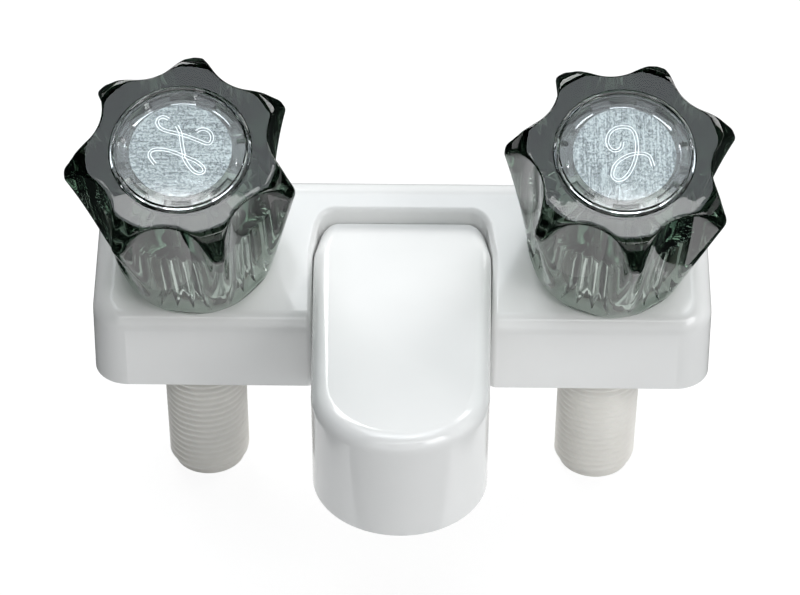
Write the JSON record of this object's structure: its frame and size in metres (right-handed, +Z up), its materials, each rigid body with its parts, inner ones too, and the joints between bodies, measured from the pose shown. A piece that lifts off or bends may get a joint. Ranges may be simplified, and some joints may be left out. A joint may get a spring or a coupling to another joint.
{
  "type": "basin tap",
  "caption": "Two-handle centre-base basin tap with tilted knob pads, a flat-topped forward spout and two threaded shanks below.",
  "frame": {"origin": "on the deck face of the base, midway between the two shanks", "axes": "+X towards the cold side, -Y the way the spout points, +Z up out of the deck"},
  "size_m": [0.1557, 0.095, 0.1265],
  "materials": {
    "white_abs": "gloss moulded ABS",
    "acetal": "matt moulded acetal",
    "grey_plate": "matt moulded polypropylene",
    "foam": "closed-cell foam",
    "rubber": "moulded nitrile rubber",
    "smoked_acrylic": "clear smoked acrylic, polished mould",
    "clear_acrylic": "clear acrylic, polished mould",
    "brushed_disc": "brushed foil disc",
    "steel": "stainless steel",
    "spring_steel": "drawn stainless wire"
  },
  "bodies": {
    "root": {"cover": "white_abs", "spout_shell": "white_abs", "spout_floor": "white_abs", "base_plate": "grey_plate", "deck_gasket": "foam", "waterway": "acetal", "spout_tube": "acetal", "spout_seal": "rubber", "aerator_housing": "acetal", "aerator_washer": "rubber", "aerator_insert": "acetal", "aerator_screen": "steel", "base_screws": "steel", "spout_screws": "steel", "hot_seat_spring": "spring_steel", "hot_seat": "rubber", "hot_bonnet_washer": "rubber", "hot_bonnet_nut": "acetal", "cold_seat_spring": "spring_steel", "cold_seat": "rubber", "cold_bonnet_washer": "rubber", "cold_bonnet_nut": "acetal"},
    "hot_handle": {"hot_knob": "smoked_acrylic", "hot_index_button": "clear_acrylic", "hot_index_disc": "brushed_disc", "hot_handle_screw": "steel", "hot_stem": "acetal", "hot_stem_ring": "rubber"},
    "cold_handle": {"cold_knob": "smoked_acrylic", "cold_index_button": "clear_acrylic", "cold_index_disc": "brushed_disc", "cold_handle_screw": "steel", "cold_stem": "acetal", "cold_stem_ring": "rubber"}
  },
  "joints": [
    {"name": "hot_turn", "type": "hinge", "parent": "root", "child": "hot_handle", "pos_m": [-0.0508, -0.00352, 0.02944], "axis": [0, -0.4664, 0.8846], "range_deg": [0, 90]},
    {"name": "cold_turn", "type": "hinge", "parent": "root", "child": "cold_handle", "pos_m": [0.0508, -0.00352, 0.02944], "axis": [0, -0.4664, 0.8846], "range_deg": [-90, 0]}
  ]
}
